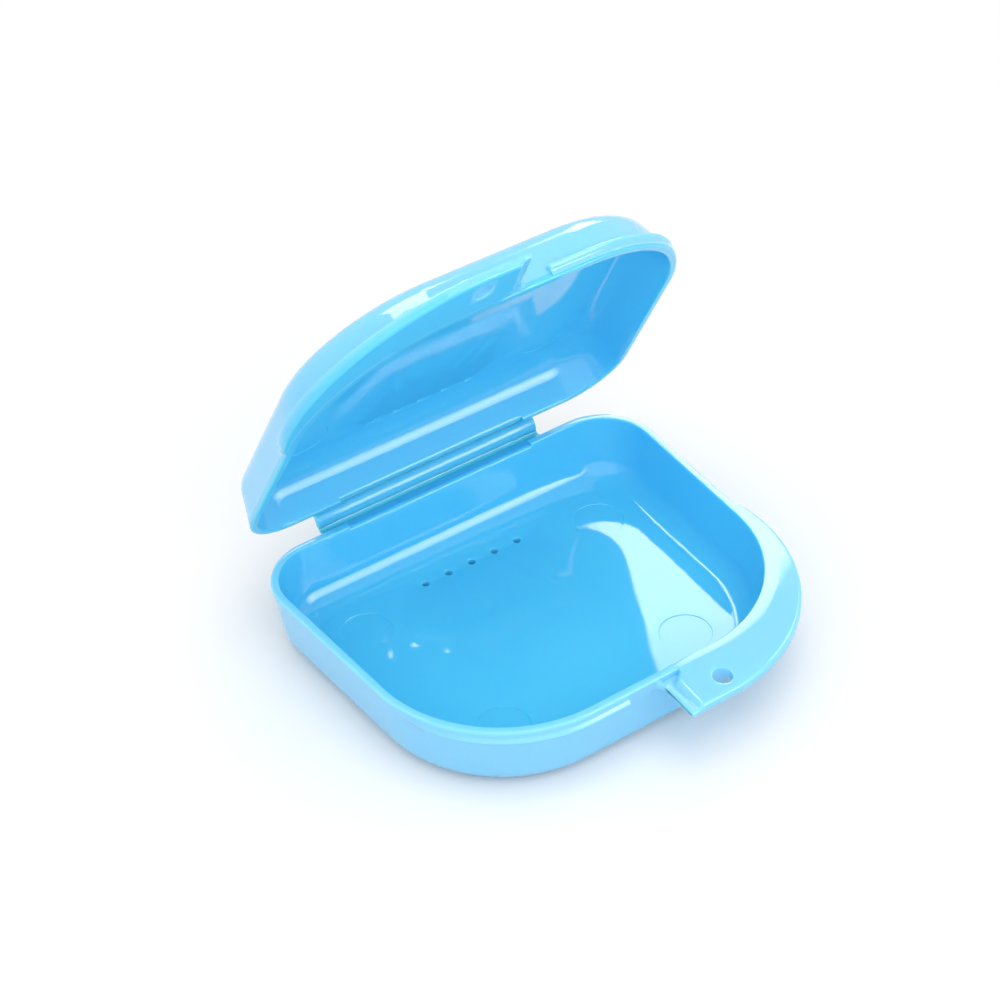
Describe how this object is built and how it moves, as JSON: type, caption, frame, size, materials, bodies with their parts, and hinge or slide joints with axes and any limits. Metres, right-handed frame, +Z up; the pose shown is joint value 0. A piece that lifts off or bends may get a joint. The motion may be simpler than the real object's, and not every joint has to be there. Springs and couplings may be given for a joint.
{
  "type": "denture case",
  "caption": "Shallow rounded denture case with a strap-hinged lid, front finger tabs and rows of vent holes, standing open.",
  "frame": {"origin": "centre of the base's flat floor, on the surface the case stands on", "axes": "+X along the hinge, towards the half of the front with the base's finger tab; +Y towards the hinge; +Z up"},
  "size_m": [0.08, 0.0815, 0.0825],
  "materials": {
    "case_plastic": "glossy, slightly translucent polypropylene"
  },
  "bodies": {
    "base": {"base_shell": "case_plastic", "base_web": "case_plastic"},
    "strap": {"strap": "case_plastic"},
    "lid": {"lid_shell": "case_plastic", "lid_web": "case_plastic"}
  },
  "joints": [
    {"name": "strap_hinge", "type": "hinge", "parent": "base", "child": "strap", "pos_m": [0, 0.03505, 0.0125], "axis": [-1, 0, 0], "range_deg": [-30, 60], "deforming": ["base_web"]},
    {"name": "lid_hinge", "type": "hinge", "parent": "strap", "child": "lid", "pos_m": [0, 0.03715, 0.01614], "axis": [-1, 0, 0], "range_deg": [-30, 60], "deforming": ["lid_web"]}
  ],
  "couplings": [
    {"joint": "strap_hinge", "follows": "lid_hinge", "ratio": 1}
  ]
}
